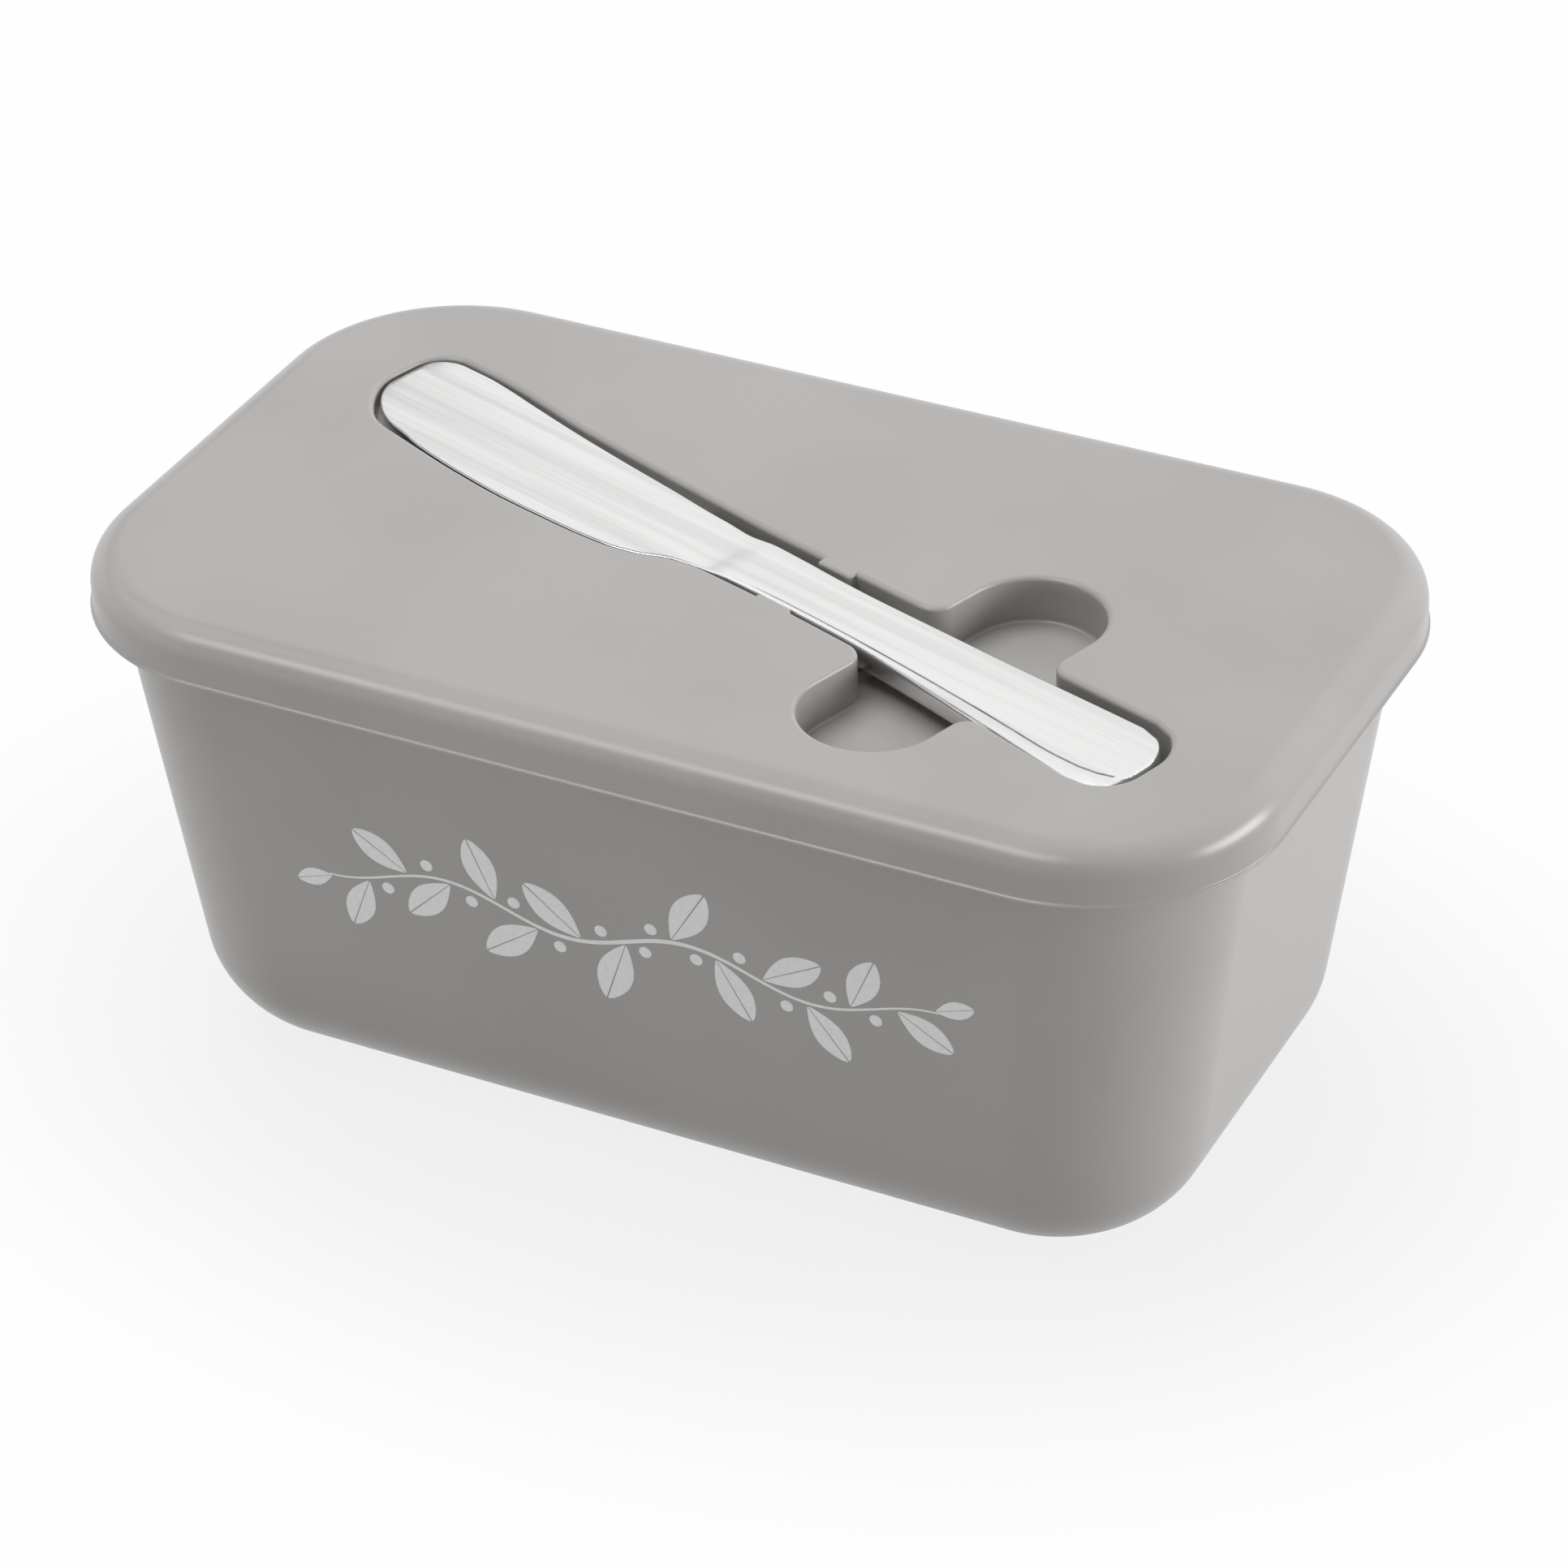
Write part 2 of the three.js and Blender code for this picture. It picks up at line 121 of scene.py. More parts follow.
def spread(nodes, links, value, span, result):
    ramp = nodes.new("ShaderNodeMapRange")
    ramp.interpolation_type = "SMOOTHSTEP"
    limits = (*span, *result)
    for socket, limit in zip(("From Min", "From Max", "To Min", "To Max"), limits):
        ramp.inputs[socket].default_value = limit
    links.new(value, ramp.inputs["Value"])
    return ramp.outputs[0]


def white_light(nodes, kind, strength=1):
    light = nodes.new(kind)
    light.inputs["Color"].default_value = WHITE
    light.inputs["Strength"].default_value = strength
    return light.outputs[0]


def mixed(nodes, links, *parts):
    mix = nodes.new("ShaderNodeMixShader")
    for part, socket in zip(parts, mix.inputs):
        links.new(part, socket)
    return mix.outputs[0]


def show(nodes, links, surface, kind="ShaderNodeOutputMaterial"):
    links.new(surface, nodes.new(kind).inputs["Surface"])


def seen_directly(nodes, links):
    ray = nodes.new("ShaderNodeLightPath").outputs
    mirrored = calculate(nodes, links, "MAXIMUM", ray["Is Camera Ray"], ray["Is Glossy Ray"])
    seen = calculate(nodes, links, "MAXIMUM", mirrored, ray["Is Transmission Ray"])
    direct = calculate(nodes, links, "LESS_THAN", ray["Diffuse Depth"], FIRST_DULL_BOUNCE)
    return calculate(nodes, links, "MULTIPLY", seen, direct)


print("a ray is direct below", FIRST_DULL_BOUNCE, "dull bounces")

# %% [markdown]
# The box is photographed on a seamless white table. A flat plane is enough for
# it. What the camera sees of the plane is mostly its own white and only in part
# the light that falls on it. Round the foot that part is larger, which keeps the
# shadow there, and further out it fades, as on a table that is lit by itself. The
# plane can't be seen from below, so the box can be looked at from under it.

# %% White table
TABLE_SIZE = 4
TABLE_WHITE = (0.42, 0.42, 0.415, 1)
GLOW_NEAR, GLOW_FAR = 0.84, 0.985
SHADOW_REACH = (0.15, 0.115, 1)
FULL_SHADOW = 0.55
HALF = 0.5


def plate(shape, length, width, parts=1):
    grid = bmesh.ops.create_grid(shape, x_segments=parts, y_segments=1, size=HALF)["verts"]
    bmesh.ops.scale(shape, vec=(length, width, 1), verts=grid)
    return grid


def to_object(name, shape):
    mesh = bpy.data.meshes.new(name)
    shape.to_mesh(mesh)
    shape.free()
    made = bpy.data.objects.new(name, mesh)
    bpy.context.collection.objects.link(made)
    return made


def table_material():
    material = bpy.data.materials.new("white_table")
    nodes, links = nodes_of(material)
    paper = nodes.new("ShaderNodeBsdfDiffuse")
    paper.inputs["Color"].default_value = TABLE_WHITE
    mapping = nodes.new("ShaderNodeMapping")
    mapping.vector_type = "TEXTURE"
    mapping.inputs["Scale"].default_value = SHADOW_REACH
    links.new(nodes.new("ShaderNodeTexCoord").outputs["Object"], mapping.inputs["Vector"])
    around = nodes.new("ShaderNodeTexGradient")
    around.gradient_type = "SPHERICAL"
    links.new(mapping.outputs[0], around.inputs[0])
    fade = spread(nodes, links, around.outputs[0], (0, FULL_SHADOW), (GLOW_FAR, GLOW_NEAR))
    share = calculate(nodes, links, "MULTIPLY", seen_directly(nodes, links), fade)
    glow = white_light(nodes, "ShaderNodeEmission")
    from_above = mixed(nodes, links, share, paper.outputs[0], glow)
    from_below = nodes.new("ShaderNodeBsdfTransparent").outputs[0]
    below = nodes.new("ShaderNodeNewGeometry").outputs["Backfacing"]
    show(nodes, links, mixed(nodes, links, below, from_above, from_below))
    return material


def make_table():
    shape = bmesh.new()
    plate(shape, TABLE_SIZE, TABLE_SIZE)
    table = to_object("table", shape)
    table.data.materials.append(table_material())


make_table()
print("table", TABLE_SIZE, "m across")

# %% [markdown]
# The light is soft and comes from everywhere, as in a white tent, with a large
# lamp overhead and one on the right that makes the right end the lightest side
# and leaves the front the darkest. The overhead lamp isn't mirrored, because its
# image would whiten the lid's flat top. A long lamp high in front only shines: it
# draws the line of light along the lid's shoulder. A low one in front does the
# reverse: it isn't mirrored, and brightens the wall under the lid's skirt. The
# camera and shiny metal see a plain white room.

# %% Light
ROOM_LIGHT = 0.27


def make_room():
    world = bpy.data.worlds.new("white_room")
    bpy.context.scene.world = world
    nodes, links = nodes_of(world)
    dim = white_light(nodes, "ShaderNodeBackground", ROOM_LIGHT)
    white = white_light(nodes, "ShaderNodeBackground")
    room = mixed(nodes, links, seen_directly(nodes, links), dim, white)
    show(nodes, links, room, "ShaderNodeOutputWorld")


def soft_lamp(name, place, size, watts):
    data = bpy.data.lights.new(name, "AREA")
    data.shape = "RECTANGLE"
    data.size, data.size_y = size
    data.energy = watts
    lamp = bpy.data.objects.new(name, data)
    bpy.context.collection.objects.link(lamp)
    lamp.location = place
    lamp.rotation_euler = (-Vector(place)).to_track_quat("-Z", "Y").to_euler()
    return lamp


make_room()
soft_lamp("right_lamp", place=(1.2, 0.3, 0.26), size=(0.9, 0.4), watts=10.8)
top_lamp = soft_lamp("top_lamp", place=(-0.3, 0.1, 1.1), size=(1.2, 0.8), watts=10.8)
top_lamp.visible_glossy = False
front_lamp = soft_lamp("front_lamp", place=(-0.32, -0.86, 0.9), size=(0.9, 0.3), watts=5.5)
front_lamp.visible_diffuse = False
low_lamp = soft_lamp("low_lamp", place=(-0.65, -1.15, 0.1), size=(1.1, 0.18), watts=3.6)
low_lamp.visible_glossy = False
bpy.context.scene.view_settings.view_transform = "Standard"
print("room light", ROOM_LIGHT)

# %% [markdown]
# Polished metal looks like metal where it mirrors something dark, so dark cards,
# which photographers call flags, stand round it. These two can be seen only in
# reflections, and cast no shadow. One stands round the left and the front and
# draws the dark line under the knife's facet. A narrow one hangs above, turned as
# the knife is, and draws the thin line along its ridge.

# %% Dark cards for the knife
KNIFE_TURN = math.radians(-18.2)
CARD_TONE = 0.12
CARD_STEPS = 24


def rotate(shape, angle, points=None, axis="Z"):
    turn = Matrix.Rotation(angle, 3, axis)
    bmesh.ops.rotate(shape, matrix=turn, verts=points or shape.verts)


def dark_card(name, shape):
    material = bpy.data.materials.new(name)
    nodes, links = nodes_of(material)
    show(nodes, links, white_light(nodes, "ShaderNodeEmission", CARD_TONE))
    card = to_object(name, shape)
    card.data.materials.append(material)
    card.visible_camera = False
    card.visible_diffuse = False
    card.visible_shadow = False


def standing_card(radius, heights, first, last):
    shape = bmesh.new()
    ends = [
        bmesh.ops.create_vert(shape, co=(radius, 0, height))["vert"][0] for height in heights
    ]
    edge = shape.edges.new(ends)
    rotate(shape, math.radians(first))
    bmesh.ops.spin(
        shape, geom=[edge, *shape.verts], axis=(0, 0, 1), angle=math.radians(last - first),
        steps=CARD_STEPS, use_merge=False,
    )
    return shape


def hanging_card(place, length, width):
    shape = bmesh.new()
    card = plate(shape, length, width)
    rotate(shape, KNIFE_TURN, card)
    bmesh.ops.translate(shape, vec=place, verts=card)
    return shape


dark_card("left_flag", standing_card(radius=1.8, heights=(0.57, 0.91), first=122, last=300))
dark_card("ridge_flag", hanging_card(place=(-0.82, 0.35, 1.2), length=1.6, width=0.45))
print("cards as dark as", CARD_TONE)

# %% [markdown]
# Tub and lid are mouldings whose every level is a rounded rectangle. One such
# level could be typed in point by point, but a flat square whose four corners are
# bevelled gives it with true round corners and the same number of points every
# time. Levels with equal numbers of points can be bridged, so a whole moulding is
# a list of levels from bottom to top, or round and back again. Where two levels
# would lie in one plane, the second falls by a hair, because a bridge between
# rings in one plane can turn the wrong way round and cross itself.

# %% Levels of a moulding
CORNER_STEPS = 24
ROUND_STEPS = 6
LEDGE_FALL = 0.02
SMOOTH_BELOW = 40


def round_off(shape, parts, radius, steps, affect="VERTICES"):
    bmesh.ops.bevel(
        shape, geom=parts, offset=radius * MM, offset_type="OFFSET", segments=steps,
        profile=0.5, affect=affect, clamp_overlap=False, material=-1,
    )


def level(shape, length, width, corner, height):
    before = set(shape.faces)
    corners = plate(shape, length * MM, width * MM)
    bmesh.ops.translate(shape, vec=(0, 0, height * MM), verts=corners)
    round_off(shape, corners, corner, CORNER_STEPS)
    return next(face for face in shape.faces if face not in before)


def bridge_levels(shape, faces, closed=False):
    rims = [list(face.edges) for face in faces]
    inner = faces if closed else faces[1:-1]
    bmesh.ops.delete(shape, geom=inner, context="FACES_ONLY")
    pairs = list(zip(rims, rims[1:])) + ([(rims[-1], rims[0])] if closed else [])
    for low, high in pairs:
        bmesh.ops.bridge_loops(shape, edges=low + high)


def quarter(radius, steps):
    turns = [math.pi / 2 * step / steps for step in range(steps + 1)]
    return [(radius * math.sin(turn), radius * (1 - math.cos(turn))) for turn in turns]


def smooth(piece, below):
    piece.data.shade_smooth()
    piece.data.set_sharp_from_angle(angle=math.radians(below))


def finished(name, shape, smooth_below=SMOOTH_BELOW):
    bmesh.ops.recalc_face_normals(shape, faces=shape.faces)
    piece = to_object(name, shape)
    smooth(piece, smooth_below)
    return piece


def flat_faces_win(piece):
    weighted = piece.modifiers.new("flat_faces_win", "WEIGHTED_NORMAL")
    weighted.keep_sharp = True
    weighted.weight = 100


print("levels have", 4 * (CORNER_STEPS + 1), "points")

# %% [markdown]
# The tub is one moulding. It stands on a band round a shallow panel. Outside, a
# rounded foot widens to the mouth, and below the lid's skirt the wall turns
# upright and ends in a thicker rim that the lid centres on. A cup could be
# hollowed with a Solidify modifier, but its wall would then be even everywhere,
# and this rim is not. So the levels run from the middle of the underside up the
# outside, over the rim and down the inside to the floor. Each is given by how far
# it lies inside the wall's slope, and by its height.

# %% Tub
FOOT = (142.4, 76, 19.6)
MOUTH = (159, 89, 22)
LID_BOTTOM = 66
FOOT_ROUND = 13.7
FOOT_STEPS = 20
FOOT_BAND = 4
PANEL = ((1, 0.8), (0.6, 0.7), (0.1, 0.1), (-0.4, LEDGE_FALL))
WALL_HEIGHTS = (26, 40, 54, LID_BOTTOM)
TUB_RIM = 71.5
RIM_REACH = 1.5
RIM_ROUND = 0.6
RIM_UNDERSIDE = ((0, 67.2), (-0.6, 67.9), (-RIM_REACH, 68.8))
TUB_WALL = 2.5
TUB_FLOOR = 3.3


def tub_level(shape, inset, height):
    lean = min(height / LID_BOTTOM, 1)
    length, width, corner = (
        foot + (mouth - foot) * lean for foot, mouth in zip(FOOT, MOUTH)
    )
    return level(shape, length - 2 * inset, width - 2 * inset, corner - inset, height)


def make_tub():
    shape = bmesh.new()
    panel_edge = FOOT_ROUND + FOOT_BAND
    levels = [(panel_edge + across, up) for across, up in PANEL]
    levels += [(FOOT_ROUND - across, up) for across, up in quarter(FOOT_ROUND, FOOT_STEPS)]
    levels += [(0, height) for height in WALL_HEIGHTS]
    levels += RIM_UNDERSIDE
    rim = quarter(RIM_ROUND, ROUND_STEPS)
    levels += [
        (RIM_ROUND - RIM_REACH - across, TUB_RIM - down) for across, down in reversed(rim)
    ]
    levels += [
        (TUB_WALL - RIM_ROUND + across, TUB_RIM - LEDGE_FALL - down) for across, down in rim
    ]
    levels += [(TUB_WALL, height) for height in reversed(WALL_HEIGHTS)]
    inside = FOOT_ROUND - TUB_WALL
    levels += [
        (TUB_WALL + inside - across, TUB_FLOOR + up)
        for across, up in reversed(quarter(inside, FOOT_STEPS))
    ]
    levels += [(FOOT_ROUND + 1, TUB_FLOOR - LEDGE_FALL)]
    bridge_levels(shape, [tub_level(shape, inset, height) for inset, height in levels])
    tub = finished("tub", shape)
    flat_faces_win(tub)
    return tub


tub = make_tub()
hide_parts("butter_box")
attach(tub, "box")
print("tub", len(tub.data.polygons), "faces")

# %% [markdown]
# The knife lies slantwise in a bed that follows its outline, so its outline is
# needed first, for the bed and for the knife. It was measured on the photograph
# along the knife's own axis: how far from the tip, where its back is and where
# its edge is, all in millimetres. A smooth curve joins the measurements. It never
# swings past them, because it runs level wherever a table turns back.

# %% Knife outline
KNIFE_TIP = -69.25
KNIFE_LENGTH = 139.85
BACK = (
    (0, 8.74), (9.2, 8.74), (14.3, 8.3), (19.3, 7.6), (29.2, 6.35), (39.3, 5.35), (49.2, 4.55),
    (59.3, 3.65), (64.3, 3.5), (69, 3.85), (74.1, 3.7), (89.5, 3.1), (104.3, 3.1), (131.3, 3.5),
    (139.85, 3.55),
)
EDGE = (
    (0, -9.0), (11.2, -9.36), (15.4, -10.32), (24.3, -11.4), (34.3, -11.94), (44.8, -11.74),
    (52.4, -11.16), (56.8, -10.1), (61.8, -7.79), (66.8, -6.75), (76.9, -6.34), (89.5, -6.55),
    (99.3, -7.1), (114.7, -8.54), (139.85, -10.9),
)


def smooth_value(table, place):
    slopes = [0]
    for (a, low), (b, middle), (c, high) in zip(table, table[1:], table[2:]):
        before, after = (middle - low) / (b - a), (high - middle) / (c - b)
        slopes.append(0 if before * after <= 0 else 2 * before * after / (before + after))
    slopes.append(0)
    index = max(i for i in range(len(table) - 1) if table[i][0] <= place or i == 0)
    (start, first), (end, last) = table[index], table[index + 1]
    span = end - start
    part = (place - start) / span
    rise = part * part * (3 - 2 * part)
    return (
        first * (1 - rise) + last * rise + span * slopes[index] * part * (1 - part) ** 2
        - span * slopes[index + 1] * part ** 2 * (1 - part)
    )


print("halfway the back lies", round(smooth_value(BACK, KNIFE_LENGTH / 2), 1), "mm off the axis")

# %% [markdown]
# The curves give the long sides. The corners at the tip and the butt are rounded
# by a length along the knife and a depth across it. The places at which the
# outline is worked out, its stations, lie closer together at both ends, so that
# the roundings stay smooth.

# %% Ends and stations of the knife
TIP_ROUND_BACK = 4.7
TIP_ROUND_EDGE = 12.5
TIP_FLAT = 3.3
BUTT_ROUND_BACK = (6, 7)
BUTT_ROUND_EDGE = (5.5, 5.5)
END_STEPS, STRAIGHT_STEPS, BUTT_STEPS = 16, 84, 12


def round_end(distance, radius):
    return math.sqrt(1 - (1 - min(distance / radius, 1)) ** 2)


def sides(back_table, edge_table, along):
    back, edge = smooth_value(back_table, along), smooth_value(edge_table, along)
    nose = back - TIP_ROUND_BACK - TIP_FLAT
    butt_back, butt_edge = (
        deep * (1 - round_end(KNIFE_LENGTH - along, long))
        for long, deep in (BUTT_ROUND_BACK, BUTT_ROUND_EDGE)
    )
    return (
        back - TIP_ROUND_BACK * (1 - round_end(along, TIP_ROUND_BACK)) - butt_back,
        edge + (nose - edge) * (1 - round_end(along, TIP_ROUND_EDGE)) + butt_edge,
    )


def knife_sides(along):
    return sides(BACK, EDGE, along)


def stations():
    turns = [1 - math.cos(math.pi / 2 * i / END_STEPS) for i in range(END_STEPS)]
    butt = BUTT_ROUND_BACK[0]
    straight = KNIFE_LENGTH - TIP_ROUND_EDGE - butt
    places = [TIP_ROUND_EDGE * turn for turn in turns]
    places += [
        TIP_ROUND_EDGE + straight * i / STRAIGHT_STEPS for i in range(STRAIGHT_STEPS + 1)
    ]
    return places + [KNIFE_LENGTH - butt * turn for turn in reversed(turns[:BUTT_STEPS])]


widest = max(back - edge for back, edge in map(knife_sides, stations()))
print("knife", KNIFE_LENGTH, "mm long, widest", round(widest, 1), "mm")

# %% [markdown]
# The lid is a tray turned over: a flat top, a round shoulder, an upright skirt with
# a fine bead along its lower edge, and underneath a second wall, the plug, that
# reaches into the tub and carries the seal in a groove. It is made like the tub,
# from the top over the shoulder, round the skirt and down and up the plug. The
# levels of the plug are given by how far they lie inside its outer face.

# %% Lid without the knife's bed
LID = (167, 97, 26)
LID_TOP = 74
LID_UNDER = 71.8
SHOULDER = 4.3
SHOULDER_STEPS = 16
FINE_STEPS = 4
BEAD = 0.3
BEAD_ABOVE = ((BEAD, 68), (BEAD, 66.8), (BEAD - 0.08, 66.62), (0.06, 66.48), (0, 66.38))
SKIRT_WALL = 2.2
SKIRT_EDGE = ((1.8, LID_BOTTOM + LEDGE_FALL), (2.1, 66.1), (SKIRT_WALL, 66.4))
UNDER_ROUND = 0.6
PLUG = 8.3
PLUG_BOTTOM = 61
GROOVE = (65, 68)
PLUG_SECTION = (
    (-0.3, LID_UNDER - LEDGE_FALL), (0, LID_UNDER - 0.3),
    (0, GROOVE[1] + 0.15), (0.15, GROOVE[1]), (1, GROOVE[1] - LEDGE_FALL),
    (1, GROOVE[0] + LEDGE_FALL), (0.15, GROOVE[0]), (0, GROOVE[0] - 0.15),
    (0, PLUG_BOTTOM + 0.6), (0.2, PLUG_BOTTOM + 0.2), (0.6, PLUG_BOTTOM),
    (1.8, PLUG_BOTTOM + LEDGE_FALL), (2.2, PLUG_BOTTOM + 0.2), (2.4, PLUG_BOTTOM + 0.6),
    (2.4, LID_UNDER - 0.8), (2.6, LID_UNDER - 0.25), (3.2, LID_UNDER),
)


def lid_level(shape, inset, height):
    length, width, corner = (size - times * inset for size, times in zip(LID, (2, 2, 1)))
    return level(shape, length, width, corner, height)


def make_lid_blank():
    shape = bmesh.new()
    levels = [
        (BEAD + SHOULDER - across, LID_TOP - down)
        for across, down in quarter(SHOULDER, SHOULDER_STEPS)
    ]
    levels += BEAD_ABOVE
    levels += [
        (BEAD - across, LID_BOTTOM + up) for across, up in reversed(quarter(BEAD, FINE_STEPS))
    ]
    levels += SKIRT_EDGE
    levels += [
        (SKIRT_WALL + UNDER_ROUND - across, LID_UNDER - down)
        for across, down in reversed(quarter(UNDER_ROUND, FINE_STEPS))
    ]
    levels += [(PLUG + inward, height) for inward, height in PLUG_SECTION]
    bridge_levels(shape, [lid_level(shape, inset, height) for inset, height in levels])
    return finished("lid_moulding", shape)


lid = make_lid_blank()
print("lid blank", len(lid.data.polygons), "faces")

# %% [markdown]
# The knife lies in a hollow with one outline and three floors: shallow under the
# blade, deeper under the handle and deepest in the finger pocket that crosses it.
# The bed and the pocket each have an outline. Where these cross could be worked
# out, but it is easier to raise each into a block and let a Boolean modifier join
# the blocks. Its result is read from the evaluated scene and kept as the piece's
# mesh, so the tool can be removed.

# %% Tools for blocks
def combine(piece, tool, operation):
    step = piece.modifiers.new("combine", "BOOLEAN")
    step.operation = operation
    step.object = tool
    step.solver = "EXACT"
    graph = bpy.context.evaluated_depsgraph_get()
    mesh = bpy.data.meshes.new_from_object(piece.evaluated_get(graph))
    piece.modifiers.remove(step)
    piece.data = mesh
    bpy.data.objects.remove(tool)


def points_in(parts):
    return [part for part in parts if isinstance(part, bmesh.types.BMVert)]


def disc(shape, points, radius=1):
    made = bmesh.ops.create_circle(shape, segments=points, radius=radius, cap_ends=True)
    return made["verts"]


def raise_faces(shape, height):
    raised = bmesh.ops.extrude_face_region(shape, geom=list(shape.faces))
    bmesh.ops.translate(shape, vec=(0, 0, height), verts=points_in(raised["geom"]))


def turn_up(face):
    if face.normal.z < 0:
        face.normal_flip()


def inset_face(shape, face, distance):
    bmesh.ops.inset_region(
        shape, faces=[face], thickness=distance * MM, use_boundary=True, use_even_offset=True,
    )


print("lid has", len(lid.modifiers), "modifiers before its booleans")

# %% [markdown]
# The bed's outline was measured as the knife's was, and a disc with as many points
# as the outline is set out on it. An inset with a negative width then adds the room
# that the knife needs all round, and for the tray the thickness of its wall. The
# pocket is one level of a moulding, so narrow that its corners become round ends.

# %% Blocks for the hollow
BED_BACK = (
    (0, 8.74), (9.2, 8.74), (14.3, 8.48), (19.3, 7.95), (29.2, 6.8), (39.3, 6.1), (49.2, 5.59),
    (59.3, 5.09), (69.9, 4.7), (104.3, 4.55), (131.3, 4.44), (139.85, 4.44),
)
BED_EDGE = (
    (0, -9.0), (2, -9.35), (6.5, -10.2), (11.2, -10.0), (15.4, -10.45), (24.3, -11.4),
    (34.3, -11.94), (44.8, -11.74), (52.4, -11.16), (56.8, -10.1), (61.8, -7.82),
    (66.8, -6.87), (76.9, -6.7), (89.5, -6.98), (99.3, -7.41), (114.7, -8.92), (124, -10.1),
    (139.85, -11.25),
)
BED_ROOM = 0.5
BED_LENGTH = 140.15
POCKET_ALONG, POCKET_ACROSS = 37.15, -1.9
POCKET_WIDTH, POCKET_REACH = 19, 48.8
WELD = 0.0005


def bed_block(grow, low, high):
    shape = bmesh.new()
    walls = [
        (along * BED_LENGTH / KNIFE_LENGTH, *sides(BED_BACK, BED_EDGE, along))
        for along in stations()
    ]
    rim = [(along, edge) for along, back, edge in walls]
    rim += [(along, back) for along, back, edge in reversed(walls)]
    for point, (along, across) in zip(disc(shape, len(rim)), rim):
        point.co = Vector((KNIFE_TIP + along, across, low)) * MM
    face = next(iter(shape.faces))
    turn_up(face)
    inset_face(shape, face, -(BED_ROOM + grow))
    ring = [other for other in shape.faces if other is not face]
    bmesh.ops.delete(shape, geom=ring, context="FACES")
    raise_faces(shape, (high - low) * MM)
    return finished("bed_block", shape)


def pocket_block(grow, low, high):
    shape = bmesh.new()
    width, reach = POCKET_WIDTH + 2 * grow, POCKET_REACH + 2 * grow
    level(shape, width, reach, width / 2, low)
    middle = Vector((POCKET_ALONG, POCKET_ACROSS, 0)) * MM
    bmesh.ops.translate(shape, vec=middle, verts=shape.verts)
    bmesh.ops.remove_doubles(shape, verts=shape.verts, dist=WELD * MM)
    raise_faces(shape, (high - low) * MM)
    return finished("pocket_block", shape)


print("bed", BED_LENGTH, "mm long, pocket", POCKET_WIDTH, "mm wide and", POCKET_REACH, "mm long")

# %% [markdown]
# A slice through the joined blocks is the outline of the whole hollow. The bed and
# the pocket meet in four sharp inner corners, which a mould could not have. They
# are the only corners of the outline that turn inwards so far, so they can be
# found by their angle. The points close to them are dissolved, to make room, and
# one bevel then rounds all four.

# %% Outline of the hollow
POCKET_CORNER = 3
POCKET_CORNER_STEPS = 10
SHARPEST_BEND = 2.4
BLOCK_HALF = 2


def hollow_outline(shape, grow, height):
    block = bed_block(grow, height - BLOCK_HALF, height + BLOCK_HALF)
    taller = BLOCK_HALF + 1
    combine(block, pocket_block(grow, height - taller, height + taller), "UNION")
    shape.from_mesh(block.data)
    bpy.data.objects.remove(block)
    cut = bmesh.ops.bisect_plane(
        shape, geom=shape.verts[:] + shape.edges[:] + shape.faces[:],
        plane_co=(0, 0, height * MM), plane_no=(0, 0, 1), clear_inner=True, clear_outer=True,
    )
    edges = [part for part in cut["geom_cut"] if isinstance(part, bmesh.types.BMEdge)]
    outline = bmesh.ops.contextual_create(shape, geom=edges)["faces"][0]
    bmesh.ops.recalc_face_normals(shape, faces=[outline])
    turn_up(outline)
    corners = [
        loop.vert for loop in outline.loops
        if not loop.is_convex and loop.calc_angle() < SHARPEST_BEND
    ]
    near = [
        point for point in outline.verts
        if any(0 < (point.co - corner.co).length < POCKET_CORNER * MM for corner in corners)
    ]
    bmesh.ops.dissolve_verts(shape, verts=near)
    round_off(shape, corners, POCKET_CORNER - grow, POCKET_CORNER_STEPS)
    print("hollow outline", len(corners), "corners rounded")
    return next(iter(shape.faces))


print("inner corners rounded to", POCKET_CORNER, "mm")

# %% [markdown]
# A face is lowered by an inset and a shift: the inset leaves the old outline where
# it is, as the top of the new wall. A wall that is to stand upright gets an inset
# of no more than a hair. Planes split the floor where the handle and the pocket
# begin, each part is lowered to its own depth, and a bevel rounds the floors into
# the walls.

# %% Floors of the hollow
BLADE_END = 55.12
POCKET_FLOOR_OVERRUN = 0.35
FLOORS = (71.3, 68.5, 67.2)
FLOOR_STEPS = 5
HAIR = 0.0001
FLAT_WITHIN = 0.01
WALL_FROM = 0.1


def step_down(shape, cap, inward, down):
    inset_face(shape, cap, max(inward, HAIR))
    bmesh.ops.translate(shape, vec=(0, 0, -down * MM), verts=cap.verts)


def split_floor(shape, floor, along):
    bmesh.ops.bisect_plane(
        shape, geom=[floor, *floor.edges, *floor.verts],
        plane_co=((KNIFE_TIP + along) * MM, 0, 0), plane_no=(1, 0, 0),
    )


def lies_at(face, height):
    return all(abs(point.co.z - height * MM) < FLAT_WITHIN * MM for point in face.verts)


def floor_at(shape, height, along):
    place = (KNIFE_TIP + along) * MM
    for face in shape.faces:
        reach = [point.co.x for point in face.verts]
        if lies_at(face, height) and min(reach) < place < max(reach):
            return face


def sink_floors(shape, cap, floors):
    blade, handle, pocket = floors
    split_floor(shape, cap, BLADE_END)
    step_down(shape, floor_at(shape, blade, (BLADE_END + BED_LENGTH) / 2), 0, blade - handle)
    middle = POCKET_ALONG - KNIFE_TIP
    half = POCKET_WIDTH / 2 + POCKET_CORNER + POCKET_FLOOR_OVERRUN
    for end in (middle - half, middle + half):
        split_floor(shape, floor_at(shape, handle, middle), end)
    step_down(shape, floor_at(shape, handle, middle), 0, handle - pocket)


